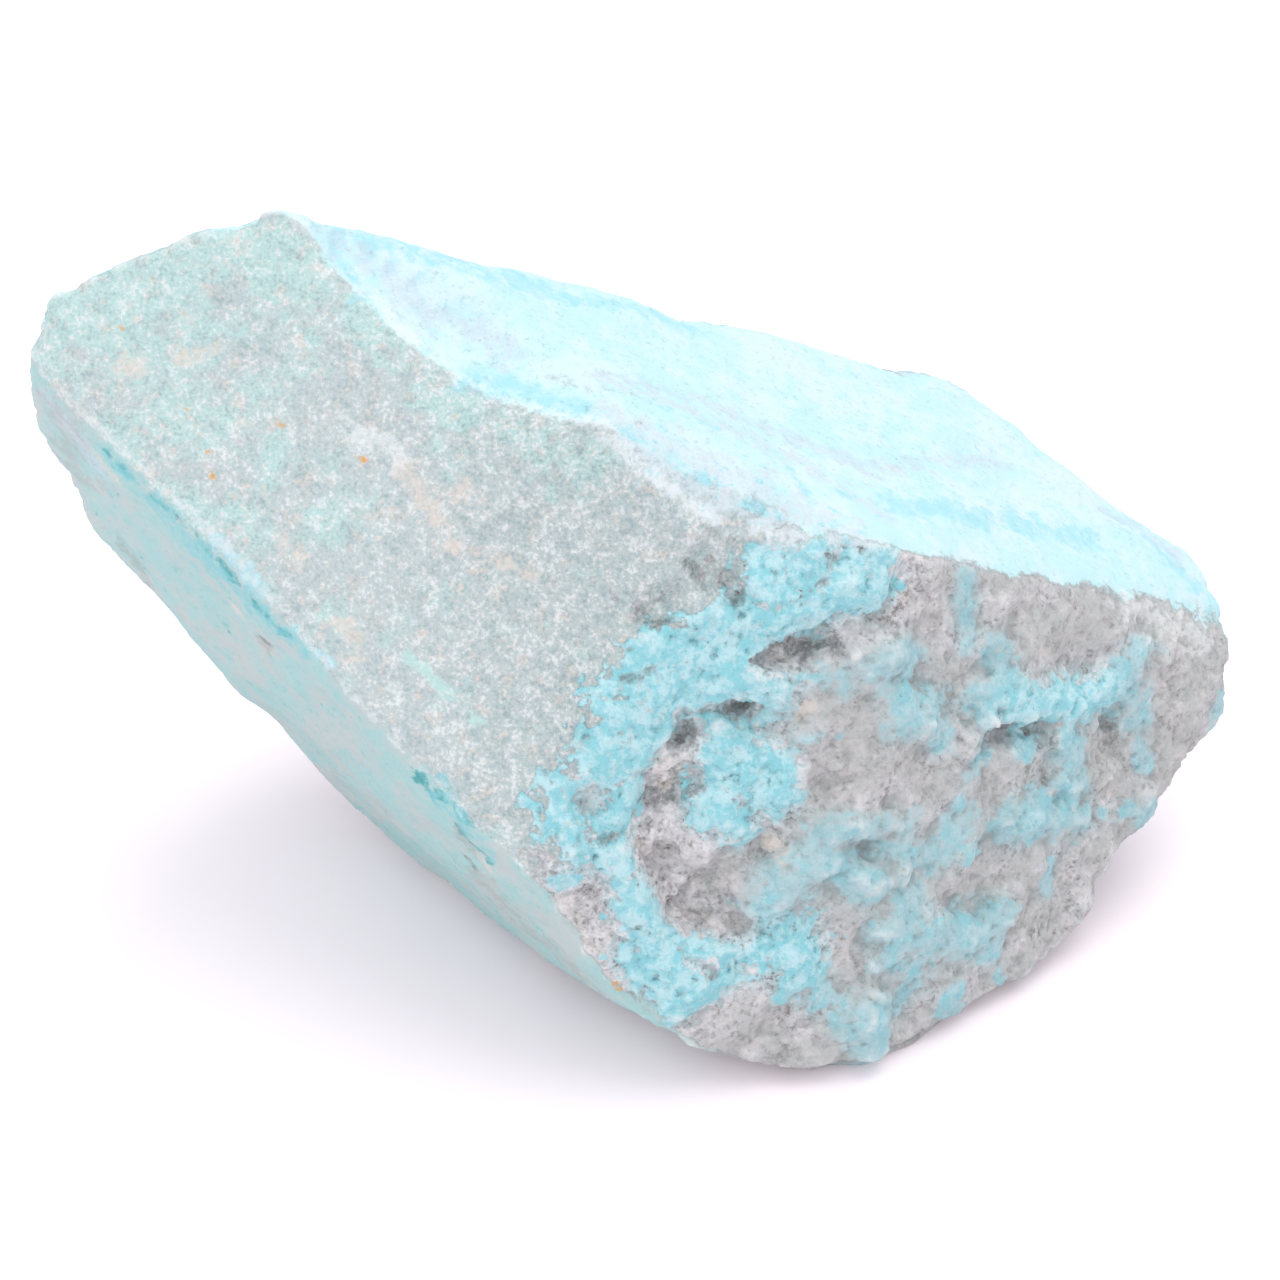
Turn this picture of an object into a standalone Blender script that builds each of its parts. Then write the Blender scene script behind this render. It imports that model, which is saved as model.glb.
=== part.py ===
"""Raw chrysocolla: one broken lump of green-grey quartz rock, crusted and coated with chrysocolla.

The lump is knocked out as the hull of its named corners and scooped where flakes have come off.
Its breaks are then weathered one by one: shards and lumps, ledges, raised patches of crust and
pits. It is trimmed flat where it rests. All sizes are millimetres until the mesh is scaled at the
end. +Z is up, +X runs along the length, the granular break faces -Y, and the origin ends up in
the middle of the foot of the bounding box.
"""

import math

import bmesh
import bpy
import numpy as np
from mathutils import Matrix, Vector, noise

NODE = "chrysocolla_stone"
MM = 0.001

# Corners where the breaks meet.
CORNERS = {
    # granular break, front left
    "peak": (-19.6, 2.0, 43.5),
    "left_shoulder": (-26.0, 2.0, 40.5),
    "left_horn": (-32.0, 2.0, 38.2),
    "left_tip": (-33.2, 0.3, 35.0),
    "ridge_bump": (-2.0, -5.5, 34.5),
    "crown": (2.0, -8.5, 31.0),
    "join": (-7.0, -16.5, 14.0),
    # crusted breaks, front right
    "toe": (-1.0, -18.0, 5.0),
    "toe_right": (4.5, -17.5, 1.5),
    "cheek": (11.5, -12.0, 15.5),
    "brow": (11.5, -7.0, 28.5),
    "foot_front": (11.5, -17.5, -0.5),
    "foot_middle": (15.0, -15.0, -0.8),
    "foot_right": (22.5, -8.5, 1.5),
    "right_mid": (30.0, 0.5, 7.0),
    "right_low": (32.5, 2.5, 9.5),
    "right_tip": (33.0, 4.5, 12.0),
    # blue top
    "right_high": (32.5, 7.0, 14.5),
    "right_top": (30.5, 10.0, 15.5),
    "back_knee": (17.5, 15.5, 23.0),
    "back_mid": (9.5, 13.0, 27.5),
    # undercut side, left
    "left_chin": (-33.6, 3.0, 29.5),
    "belly_high": (-30.5, 4.0, 19.5),
    "belly_mid": (-22.5, 1.5, 11.0),
    # base break, a little under the floor before it is trimmed
    "base_left": (-14.5, 1.5, -1.0),
    "base_left_back": (-13.0, 10.5, -1.0),
    "base_back": (6.0, 15.0, -1.0),
    "base_right": (22.5, 7.0, -1.0),
    # back breaks
    "back_left_high": (-22.0, 9.0, 34.0),
    "back_left_low": (-25.0, 11.5, 13.0),
    "back_wall": (-4.0, 17.0, 23.0),
    "back_wall_right": (17.0, 19.5, 13.0),
    "back_low": (-6.0, 16.5, 6.0),
}

# Each flake scar is an egg-shaped scoop: where its middle meets the surface, the way its long axis
# runs, the way the surface faces, its half sizes along, across and through, and how deep it bites.
ALONG_KEEL = (26.0, -17.0, -21.0)
ALONG_CREST = (28.0, 10.0, -15.0)
SCARS = {
    "ridge_bite": ((-10.5, -3.0, 38.3), (21.0, -10.5, -12.0), (0.45, 0.0, 0.9), (11.0, 6.0, 5.0), 1.9),
    "top_trough": ((7.0, 2.0, 31.2), (20.0, 2.0, -10.0), (0.4, 0.1, 0.9), (17.0, 5.0, 6.0), 0.9),
    "keel_strip": ((-25.0, -4.9, 28.4), ALONG_KEEL, (-0.46, -0.86, 0.13), (13.0, 4.0, 3.0), 0.5),
    "keel_flake": ((-19.6, -8.3, 24.2), ALONG_KEEL, (-0.46, -0.86, 0.13), (3.2, 2.4, 2.4), 0.6),
    "keel_flake_low": ((-11.8, -13.4, 17.8), ALONG_KEEL, (-0.46, -0.86, 0.13), (3.8, 2.4, 2.4), 0.5),
    "horn_notch": ((-30.6, 2.2, 38.9), (0.0, 1.0, 0.0), (-0.5, -0.1, 0.8), (4.0, 1.3, 1.3), 0.5),
    "shoulder_nick": ((-22.0, 2.2, 42.0), (0.0, 1.0, 0.0), (-0.2, -0.1, 1.0), (4.0, 1.5, 1.2), 0.35),
    "knee_step": ((24.5, 13.0, 19.2), (13.0, -5.0, -8.0), (0.4, 0.7, 0.6), (5.0, 4.0, 3.0), 0.7),
    "foot_notch": ((25.5, -4.5, 3.5), (1.0, -0.5, 1.0), (0.7, -0.4, -0.5), (5.0, 2.6, 2.5), 0.8),
    "crest_nick": ((-11.5, 5.0, 39.2), ALONG_CREST, (0.2, 0.6, 0.7), (8.0, 4.0, 3.0), 0.5),
    "crest_hollow": ((1.5, 9.8, 32.2), ALONG_CREST, (0.2, 0.6, 0.7), (7.5, 5.0, 4.0), 0.8),
    "back_scoop": ((-13.0, 13.5, 27.5), (1.0, 0.3, -0.4), (-0.1, 0.9, 0.4), (10.0, 8.0, 7.0), 1.8),
    "back_scoop_low": ((3.0, 17.8, 14.0), (1.0, 0.1, 0.35), (-0.1, 1.0, 0.0), (12.0, 6.5, 6.0), 1.7),
    "back_corner": ((24.0, 14.5, 12.5), (0.3, -0.4, 1.0), (0.7, 0.7, -0.1), (7.0, 5.5, 4.0), 1.3),
    "left_scoop": ((-28.5, 7.5, 24.0), (0.1, 0.2, 1.0), (-0.75, 0.65, 0.0), (8.0, 5.0, 4.0), 1.1),
    "belly_scoop": ((-24.5, 6.0, 9.5), (0.6, -0.3, -0.7), (-0.7, 0.0, -0.7), (7.0, 6.0, 4.0), 1.0),
}

# The main breaks, each as three corners on its plane, with the heights in millimetres of its
# shards, lumps, grain and ledges, and how much crust the patches of chance lay on it.
ZONES = {
    "granular": (("left_tip", "peak", "join"), 0.06, 0.20, 0.08, 0.0, 0.0),
    "crust_front": (("crown", "join", "foot_front"), 0.36, 0.30, 0.20, 0.50, 0.0),
    "crust_right": (("cheek", "brow", "right_low"), 0.40, 0.35, 0.20, 0.50, 0.0),
    "crust_low": (("cheek", "foot_front", "foot_right"), 0.45, 0.40, 0.20, 0.40, 0.0),
    "blue_top": (("brow", "back_knee", "right_high"), 0.08, 0.30, 0.05, 0.0, 0.0),
    "blue_crest": (("peak", "brow", "back_mid"), 0.08, 0.28, 0.06, 0.0, 0.0),
    "undercut": (("left_tip", "belly_mid", "toe"), 0.14, 0.25, 0.08, 0.15, 0.0),
    "left_end": (("belly_high", "back_left_high", "back_left_low"), 0.22, 0.35, 0.10, 0.10, 0.2),
    "back": (("back_left_high", "back_wall", "back_left_low"), 0.32, 0.40, 0.12, 0.35, 1.0),
    "back_right": (("back_wall", "back_knee", "back_wall_right"), 0.36, 0.45, 0.12, 0.35, 1.0),
    "back_foot": (("base_back", "base_right", "back_wall_right"), 0.40, 0.45, 0.15, 0.30, 0.6),
    "base": (("base_left", "base_right", "base_back"), 0.0, 0.0, 0.0, 0.0, 0.0),
}
ZONE_BLEND = 0.7
LUMP_SIZE, SHARD_SIZE, GRAIN_SIZE = 6.0, 3.2, 1.6
SHARD_TILT, TILT_STEP, RISE_STEP = 1.3, 37.0, 5.3

# The crusted breaks are mapped flat, seen along CRUST_FACING: millimetres across to the right and
# up from the crown. A stroke is where it starts, where it ends and its half width.
CRUST_FACING = (0.42, -0.85, 0.31)
CRUST_STROKES = (
    # beside the granular break
    (-4.4, -6.0, -0.6, -5.0, 1.0),
    (-5.1, -7.9, 0.9, -6.8, 1.4),
    (-6.2, -9.4, -3.9, -8.4, 1.4),
    (-7.6, -11.4, -4.5, -10.6, 1.5),
    (-9.3, -13.1, -9.0, -15.6, 0.9),
    (-7.1, -14.8, -5.9, -13.9, 0.8),
    # under the crown
    (3.0, -3.7, 5.0, -3.4, 1.2),
    (1.6, -5.7, 8.6, -5.6, 1.0),
    # middle
    (-2.7, -8.6, 2.1, -9.4, 1.0),
    (-0.8, -12.2, 1.8, -15.3, 1.6),
    (-1.8, -14.9, -0.1, -17.4, 0.8),
    (7.9, -9.0, 10.0, -10.1, 0.9),
    (8.9, -11.7, 11.3, -14.9, 0.9),
    # low
    (-6.9, -16.8, -5.3, -22.4, 0.8),
    (-5.9, -23.3, -4.8, -25.8, 1.3),
    (-3.9, -23.2, 2.3, -24.9, 0.9),
    (0.2, -20.8, 2.8, -20.3, 1.4),
    (3.6, -18.4, 7.8, -18.8, 0.8),
    (4.4, -20.4, 7.5, -22.4, 0.9),
    (7.9, -23.2, 6.5, -26.2, 0.9),
    (5.1, -29.1, 5.0, -31.9, 1.0),
    (7.9, -25.3, 13.2, -27.7, 1.0),
    # right
    (14.8, -14.1, 20.3, -16.2, 1.2),
    (22.9, -16.7, 25.9, -15.5, 0.9),
    (19.9, -18.1, 20.3, -21.7, 0.8),
    (15.6, -21.8, 20.3, -23.5, 0.8),
)
PIT_STROKES = (
    (-3.2, -4.5, -2.2, -3.9, 0.6),
    (-0.3, -2.5, 1.3, -4.0, 0.6),
    (1.9, -7.8, 5.9, -7.6, 0.7),
    (0.1, -10.7, 1.3, -10.2, 0.7),
    (-3.4, -11.6, -0.9, -10.7, 0.7),
    (-5.0, -14.2, -1.8, -13.8, 1.0),
    (-5.0, -18.6, -1.9, -21.6, 1.6),
    (4.9, -19.9, 6.6, -19.6, 0.6),
    (14.8, -16.4, 18.4, -17.4, 0.8),
    (23.6, -19.2, 23.5, -20.1, 1.0),
)
CRUST_RAISE, PIT_DEPTH = 0.65, 0.75
STROKE_FADE = 0.5
STROKE_WANDER, WANDER_SIZE = 0.7, 1.8
CRUST_BACK = 8.0

# Ledges: from one to the next, their slant, how much steeper they drop than climb, and how far
# the lumps bend them. Chance crust: the size of its patches, how rare they are, how sharp.
LEDGE_RUN, LEDGE_TILT, LEDGE_DROP, LEDGE_BEND = 4.5, math.radians(40), 6.0, 0.35
CHANCE_SIZE, CHANCE_LEVEL, CHANCE_EDGE = 9.0, 0.05, 8.0

# The even faces' size, the rounds of smoothing that wear the edges, and the triangles kept.
WORK_VOXEL = 0.5
EDGE_WEAR = 2
TRIANGLES = 9400

COLOUR, ROUGHNESS = (0.36, 0.68, 0.70, 1.0), 0.75


def clear_scene():
    for thing in list(bpy.data.objects):
        bpy.data.objects.remove(thing)


def add_object(name, shape):
    """An object in the scene from a bmesh, which it frees."""
    mesh = bpy.data.meshes.new(name)
    shape.to_mesh(mesh)
    shape.free()
    thing = bpy.data.objects.new(name, mesh)
    bpy.context.scene.collection.objects.link(thing)
    return thing


def apply_modifiers(thing):
    """Bakes the object's modifiers into its mesh."""
    bpy.context.view_layer.update()
    graph = bpy.context.evaluated_depsgraph_get()
    baked = bpy.data.meshes.new_from_object(thing.evaluated_get(graph))
    thing.modifiers.clear()
    thing.data = baked


def knock_out_lump():
    """The sharp lump: the hull of the corners."""
    shape = bmesh.new()
    for place in CORNERS.values():
        shape.verts.new(place)
    bmesh.ops.convex_hull(shape, input=shape.verts)
    bmesh.ops.recalc_face_normals(shape, faces=shape.faces)
    return add_object(NODE, shape)


def scar_cutter(name, at, along, facing, half_sizes, bite):
    """An egg that stands proud of the surface and reaches in by the bite."""
    z_axis = Vector(facing).normalized()
    x_axis = Vector(along)
    x_axis = (x_axis - z_axis * x_axis.dot(z_axis)).normalized()
    turn = Matrix((x_axis, z_axis.cross(x_axis), z_axis)).transposed().to_4x4()
    middle = Vector(at) + z_axis * (half_sizes[2] - bite)
    shape = bmesh.new()
    place = Matrix.Translation(middle) @ turn @ Matrix.Diagonal((*half_sizes, 1.0))
    bmesh.ops.create_icosphere(shape, subdivisions=4, radius=1.0, matrix=place)
    cutter = add_object(name, shape)
    cutter.hide_render = True
    cutter.display_type = "WIRE"
    return cutter


def strike_flakes(lump):
    """Cuts the flake scars and lays even small faces over the result."""
    for name, scar in SCARS.items():
        cut = lump.modifiers.new(name, "BOOLEAN")
        cut.operation = "DIFFERENCE"
        cut.solver = "EXACT"
        cut.object = scar_cutter(name, *scar)
    remesh = lump.modifiers.new("even_faces", "REMESH")
    remesh.mode = "VOXEL"
    remesh.voxel_size = WORK_VOXEL
    apply_modifiers(lump)


def zone_traits(places):
    """Each place's shard, lump, grain and ledge heights and its chance of crust, blended from
    the breaks whose planes it lies near."""
    middle = np.mean([CORNERS[name] for name in CORNERS], axis=0)
    depths = []
    for corners, *_ in ZONES.values():
        a, b, c = (np.array(CORNERS[corner]) for corner in corners)
        facing = np.cross(b - a, c - a)
        facing /= np.linalg.norm(facing)
        facing *= np.sign(facing @ (a - middle))
        depths.append(np.abs((places - a) @ facing))
    depths = np.array(depths)
    shares = np.exp(-(depths - depths.min(axis=0)) / ZONE_BLEND)
    shares /= shares.sum(axis=0)
    traits = np.array([zone[1:] for zone in ZONES.values()])
    return traits.T @ shares


def crust_map(places):
    """Millimetres across and up the crusted breaks from the crown, as two rows."""
    facing = Vector(CRUST_FACING).normalized()
    across = Vector((0.0, 0.0, 1.0)).cross(facing).normalized()
    up = facing.cross(across)
    offsets = places - np.array(CORNERS["crown"])
    return np.array([offsets @ np.array(across), offsets @ np.array(up)])


def stroke_cover(flat, strokes, wander):
    """1 inside any stroke and 0 outside all, with an edge that wanders."""
    best = np.full(flat.shape[1], -math.inf)
    for x0, y0, x1, y1, half_width in strokes:
        start = np.array([[x0], [y0]])
        run = np.array([[x1 - x0], [y1 - y0]])
        along = np.clip(((flat - start) * run).sum(axis=0) / (run * run).sum(), 0.0, 1.0)
        gap = np.linalg.norm(flat - start - run * along, axis=0)
        best = np.maximum(best, half_width - gap)
    return np.clip((best + wander) / STROKE_FADE + 0.5, 0.0, 1.0)


def ledges(flat, wander):
    """Steps across the crusted breaks: each rises slowly and drops at once, from 0 to 1."""
    climb = flat[0] * math.sin(LEDGE_TILT) - flat[1] * math.cos(LEDGE_TILT)
    phase = (climb / LEDGE_RUN + wander) % 1.0
    return np.minimum(phase, (1.0 - phase) * LEDGE_DROP)


def shard_height(place):
    """Broken facets: each small cell of the rock has its own tilt."""
    seed = noise.voronoi(place)[1][0]
    tilt = noise.cell_vector(seed * TILT_STEP) - Vector((0.5, 0.5, 0.5))
    return (place - seed).dot(tilt) * SHARD_TILT + noise.noise(seed * RISE_STEP)


def weather(lump):
    """Moves the surface in and out, break by break."""
    shape = bmesh.new()
    shape.from_mesh(lump.data)
    for _ in range(EDGE_WEAR):
        bmesh.ops.smooth_vert(
            shape, verts=shape.verts, factor=0.5, use_axis_x=True, use_axis_y=True, use_axis_z=True
        )
    shape.normal_update()
    spots = [vert.co.copy() for vert in shape.verts]
    places = np.array([tuple(spot) for spot in spots])
    shards, lumps, grains, steps, chance = zone_traits(places)

    swell = np.array([noise.fractal(spot / LUMP_SIZE, 1.0, 2.0, 2) for spot in spots])
    shard = np.array([shard_height(spot / SHARD_SIZE) for spot in spots])
    grain = np.array([noise.noise(spot / GRAIN_SIZE) for spot in spots])
    wander = np.array([noise.fractal(spot / WANDER_SIZE, 1.0, 2.0, 2) for spot in spots])
    patch = np.array([noise.fractal(spot / CHANCE_SIZE, 0.8, 2.1, 4) for spot in spots])

    flat = crust_map(places)
    front = np.clip(2.0 * steps / max(steps), 0.0, 1.0) * (chance < 0.5)
    crust = stroke_cover(flat, CRUST_STROKES, wander * STROKE_WANDER) * front
    crust *= places[:, 1] < CRUST_BACK
    pits = stroke_cover(flat, PIT_STROKES, wander * STROKE_WANDER) * front * (1.0 - crust)
    by_chance = np.clip((patch - CHANCE_LEVEL) * CHANCE_EDGE, 0.0, 1.0) * chance
    crust = np.maximum(crust, by_chance)

    heights = shards * shard + lumps * swell + grains * grain
    heights += steps * (ledges(flat, swell * LEDGE_BEND) - 0.5)
    heights += CRUST_RAISE * crust - PIT_DEPTH * pits
    for vert, height in zip(shape.verts, heights):
        vert.co += vert.normal * height
    shape.to_mesh(lump.data)
    shape.free()


def thin_out(lump):
    """Keeps the triangles where the surface bends."""
    lump.data.calc_loop_triangles()
    thin = lump.modifiers.new("thin_out", "DECIMATE")
    thin.ratio = TRIANGLES / len(lump.data.loop_triangles)
    thin.use_collapse_triangulate = True
    apply_modifiers(lump)


def trim_and_stand(lump):
    """Cuts the base break flat at the floor, and puts the origin in the middle of the foot."""
    shape = bmesh.new()
    shape.from_mesh(lump.data)
    everything = list(shape.verts) + list(shape.edges) + list(shape.faces)
    bmesh.ops.bisect_plane(
        shape, geom=everything, dist=1e-4, plane_co=(0, 0, 0), plane_no=(0, 0, -1), clear_outer=True
    )
    rim = [edge for edge in shape.edges if edge.is_boundary]
    filled = bmesh.ops.contextual_create(shape, geom=rim)
    bmesh.ops.triangulate(shape, faces=filled["faces"])
    bmesh.ops.recalc_face_normals(shape, faces=shape.faces)
    places = np.array([tuple(vert.co) for vert in shape.verts])
    middle = (places.min(axis=0) + places.max(axis=0)) / 2.0
    bmesh.ops.translate(shape, vec=(-middle[0], -middle[1], 0.0), verts=shape.verts)
    bmesh.ops.scale(shape, vec=(MM, MM, MM), verts=shape.verts)
    shape.to_mesh(lump.data)
    shape.free()


def stone_material():
    material = bpy.data.materials.new("chrysocolla_rock")
    material.use_nodes = True
    shader = material.node_tree.nodes["Principled BSDF"]
    shader.inputs["Base Color"].default_value = COLOUR
    shader.inputs["Roughness"].default_value = ROUGHNESS
    shader.inputs["Metallic"].default_value = 0.0
    return material


def main():
    clear_scene()
    lump = knock_out_lump()
    strike_flakes(lump)
    weather(lump)
    thin_out(lump)
    trim_and_stand(lump)
    lump.data.materials.clear()
    lump.data.materials.append(stone_material())


main()
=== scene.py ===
"""Raw chrysocolla: the finish of a broken lump of quartz rock with a crust of blue copper mineral.

Run as a script in Blender. The solid lump is the frame; this file lays a fine weathered surface
over it, mixes the rock's colours and sets up a plain pale studio. Lengths in the tables are
millimetres, in the solid's own frame: +Z up, +X along the stone, the granular break facing -Y.
"""

import math

import bmesh
import bpy
import numpy as np
from bpy.props import FloatProperty, FloatVectorProperty, IntProperty, PointerProperty
from mathutils import Matrix, Vector, noise


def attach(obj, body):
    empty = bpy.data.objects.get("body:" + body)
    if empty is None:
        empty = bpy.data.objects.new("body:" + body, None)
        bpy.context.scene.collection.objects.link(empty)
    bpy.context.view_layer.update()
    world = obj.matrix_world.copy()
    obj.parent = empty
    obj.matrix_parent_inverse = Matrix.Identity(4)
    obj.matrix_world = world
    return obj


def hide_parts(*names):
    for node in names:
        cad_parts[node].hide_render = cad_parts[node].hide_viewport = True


bl_info = {
    "name": "Raw Chrysocolla Stone",
    "version": (1, 0, 0),
    "blender": (4, 5, 0),
    "location": "View3D > Sidebar > Chrysocolla",
    "description": "Weathers and colours the chrysocolla lump and sets up a studio round it",
    "category": "Object",
}

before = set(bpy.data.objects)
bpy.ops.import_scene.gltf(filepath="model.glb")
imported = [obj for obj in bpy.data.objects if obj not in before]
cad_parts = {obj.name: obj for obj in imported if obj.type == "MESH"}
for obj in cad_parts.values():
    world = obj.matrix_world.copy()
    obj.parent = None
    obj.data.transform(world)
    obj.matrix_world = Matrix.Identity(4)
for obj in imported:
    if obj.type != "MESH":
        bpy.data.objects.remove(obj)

NODE = "chrysocolla_stone"
MM = 0.001

# The stone's breaks: a place on each and the way it faces. Then the kind of ground it shows,
# and how much crust the patches of chance lay on it.
BREAKS = {
    "granular": ((-19.6, -5.3, 30.8), (-0.18, -0.87, 0.47), "sugar", 0.0),
    "crust_front": ((2.5, -14.7, 14.8), (0.21, -0.92, 0.33), "rubble", 0.0),
    "crust_right": ((18.8, -6.0, 17.8), (0.6, -0.75, 0.29), "rubble", 0.0),
    "crust_low": ((15.5, -13.2, 5.5), (0.58, -0.77, 0.26), "rubble", 0.0),
    "blue_top": ((20.8, 4.6, 22.0), (0.52, 0.07, 0.85), "blue", 0.0),
    "blue_crest": ((0.8, 2.1, 33.2), (0.45, 0.09, 0.89), "blue", 0.0),
    "undercut": ((-18.6, -5.9, 17.0), (-0.68, -0.65, -0.34), "teal", 0.0),
    "left_end": ((-25.5, 7.6, 22.2), (-0.71, 0.68, 0.18), "teal", 0.3),
    "back": ((-16.7, 12.0, 23.3), (-0.32, 0.93, 0.16), "rubble", 1.0),
    "back_right": ((10.5, 16.8, 19.7), (0.06, 0.93, 0.37), "rubble", 1.0),
    "back_foot": ((15.5, 13.3, 3.7), (0.37, 0.76, -0.53), "rubble", 0.6),
    "base": ((5.0, 7.3, 0.0), (0.0, 0.0, -1.0), "rubble", 0.2),
}
# How far off a break, and how far turned from it, a place may be and still be its own.
BREAK_REACH, BREAK_TURN = 0.8, 0.12

# Relief of each ground in millimetres: swell, shards, crumbs and grit.
RELIEF = {
    "sugar": (0.07, 0.03, 0.03, 0.035),
    "rubble": (0.18, 0.16, 0.13, 0.085),
    "blue": (0.12, 0.02, 0.03, 0.015),
    "teal": (0.12, 0.05, 0.05, 0.025),
}
SWELL_SIZE, SHARD_SIZE, CRUMB_SIZE, GRIT_SIZE = 3.0, 1.8, 0.8, 0.42
SPLINTER_SIZE, SPLINTER_SHARE = 0.85, 0.6
# How steeply shards tilt, and the strides through the noise that give each its tilt and rise.
SHARD_TILT, TILT_STRIDE, RISE_STRIDE = 1.3, 37.0, 5.3
# How much of the shards and crumbs the crust hides.
SHARDS_HIDDEN, CRUMBS_HIDDEN = 0.75, 0.4
# How much lower the relief, the crust and the pits are where the crust has faded.
FADED_RELIEF, FADED_LIFT, FADED_PITS = 0.1, 0.25, 0.15
BEAD_SIZE = 0.7
SEAM_FLOOR, RIDGE_FLOOR = 0.5, 0.7
NICK_SIZE, NICK_LEVEL = 1.3, 0.15

# The crusted breaks are mapped flat, seen along CRUST_FACING: millimetres across to the right and
# up from the crown. A stroke is where it starts, where it ends and its half width.
CROWN = (2.35, -9.03, 31.0)
CRUST_FACING = (0.42, -0.85, 0.31)
CRUST_STROKES = (
    # beside the granular break
    (-3.9, -6.4, 0.4, -5.4, 0.9), (-4.7, -7.9, 0.9, -6.8, 1.1), (-5.8, -9.4, -3.9, -8.4, 1.2),
    (-7.3, -11.2, -4.5, -10.6, 1.1), (-8.4, -12.6, -6.4, -12.0, 0.9), (-9.3, -13.4, -9.6, -15.4, 0.7),
    (-7.1, -14.8, -5.9, -13.9, 0.8), (-9.6, -16.1, -8.0, -15.8, 0.4),
    # under the crown
    (3.0, -3.7, 5.0, -3.4, 1.2), (1.6, -5.7, 5.1, -6.2, 0.9), (5.2, -5.7, 8.6, -5.4, 1.1),
    (7.1, -4.1, 9.3, -4.0, 0.7),
    # middle
    (-0.8, -7.5, 2.1, -9.6, 1.0), (-3.7, -9.0, -1.1, -8.9, 0.7), (-0.8, -12.0, 1.8, -15.3, 1.4),
    (-1.8, -14.9, -0.1, -17.4, 0.7), (2.1, -10.7, 3.2, -12.5, 0.6), (4.1, -8.7, 5.8, -9.8, 0.6),
    (7.9, -9.0, 10.0, -10.1, 0.9), (8.9, -11.7, 9.3, -13.3, 0.7), (10.7, -13.0, 11.3, -14.9, 0.7),
    # low
    (-6.9, -16.8, -6.5, -19.1, 0.7), (-6.5, -19.4, -5.3, -22.4, 0.7), (-5.9, -23.3, -4.8, -25.8, 1.3),
    (-3.9, -23.0, -2.1, -23.4, 0.6), (-2.3, -24.1, 2.3, -24.9, 0.8), (0.0, -20.8, 2.8, -20.1, 1.0),
    (0.1, -21.9, 1.8, -23.6, 0.7), (3.6, -18.2, 7.8, -19.0, 0.6), (4.4, -20.4, 6.5, -22.4, 0.8),
    (7.2, -20.0, 8.2, -20.9, 0.7), (7.9, -23.2, 6.5, -26.2, 0.8), (5.1, -29.1, 5.0, -31.9, 1.0),
    (7.9, -25.3, 13.2, -27.7, 0.9), (10.4, -21.7, 12.2, -20.8, 0.6),
    # right
    (14.3, -7.2, 14.2, -10.4, 0.3), (14.8, -14.1, 20.3, -16.2, 1.0), (16.0, -12.0, 16.0, -13.8, 0.7),
    (22.9, -16.7, 25.9, -15.5, 0.8), (24.8, -17.7, 25.4, -19.1, 0.6), (19.9, -18.1, 20.3, -21.7, 0.7),
    (15.6, -21.8, 20.3, -23.5, 0.7),
)
# Holes through the crust, down to the bare rock.
HOLE_STROKES = (
    (-4.1, -14.1, -3.3, -12.8, 0.6), (-2.6, -12.3, -1.6, -11.4, 0.4), (0.3, -10.5, 1.3, -10.7, 0.3),
    (2.7, -12.4, 4.8, -10.9, 0.8), (2.0, -8.2, 6.1, -8.7, 0.6), (6.6, -8.2, 8.7, -8.4, 0.7),
    (-7.7, -13.1, -7.7, -13.9, 0.6), (0.2, -18.4, 1.8, -18.1, 0.7), (22.4, -19.1, 22.9, -20.7, 0.7),
    (-4.9, -17.5, -1.5, -20.0, 1.4), (-4.2, -20.9, -1.2, -22.5, 1.0), (4.0, -14.4, 11.0, -18.1, 1.3),
    (9.8, -7.8, 12.9, -10.0, 0.8), (16.6, -9.1, 27.5, -14.0, 1.3), (-6.0, -2.0, -1.4, -2.4, 1.6),
)
# Where the crust is strongest. Elsewhere it fades into a thin wash.
STRONG_STROKES = (
    (-4.7, -8.5, 0.9, -6.5, 3.6), (3.5, -4.2, 8.7, -4.8, 2.4), (-9.6, -14.2, -0.5, -14.4, 3.0),
    (-6.6, -18.3, -5.5, -25.6, 2.4), (-3.7, -23.7, 1.5, -24.6, 1.3), (16.4, -15.2, 22.7, -16.6, 0.6),
)
# Pits between the crusts, carved and painted dark: partly the rock's dark colour, partly painted shade
# under crust edges and ledges.
PIT_STROKES = (
    (-3.2, -4.4, -2.6, -4.1, 0.25), (-0.5, -2.4, -0.2, -3.4, 0.3), (0.9, -3.7, 1.3, -4.0, 0.25),
    (1.9, -7.7, 4.0, -7.3, 0.5), (4.3, -8.2, 5.9, -8.2, 0.3), (0.1, -10.7, 1.3, -10.2, 0.6),
    (-3.0, -12.2, -2.1, -11.4, 0.3), (-4.6, -14.2, -2.8, -13.9, 0.5), (-7.7, -16.1, -7.2, -15.8, 0.4),
    (4.9, -19.8, 6.6, -19.4, 0.4), (14.8, -16.1, 18.4, -17.1, 0.5), (23.6, -19.2, 23.5, -20.1, 0.7),
    (18.4, -19.7, 18.4, -20.4, 0.5), (13.5, -7.7, 13.5, -10.1, 0.3), (-5.4, -24.6, -5.3, -25.4, 0.5),
)
# Rock that even small flecks of crust leave bare.
BARE_STROKES = (
    (-5.4, -16.2, -0.5, -22.2, 2.2), (10.0, -6.0, 26.0, -12.5, 2.4), (6.9, -11.5, 11.4, -16.5, 1.4),
    (27.5, -15.5, 28.5, -20.5, 2.4), (-7.3, -1.2, -2.4, -3.7, 2.0), (20.9, -27.6, 18.4, -30.4, 1.9),
    (-3.5, -27.5, 2.0, -31.5, 1.6),
)
# How far the crust spreads past its strokes, and how soft its edge is, crisp and faded.
CRUST_SPREAD, STROKE_FADE, FADED_FADE = 0.3, 0.3, 0.6
FADED_ENDS = (-2.5, 0.5)
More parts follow.
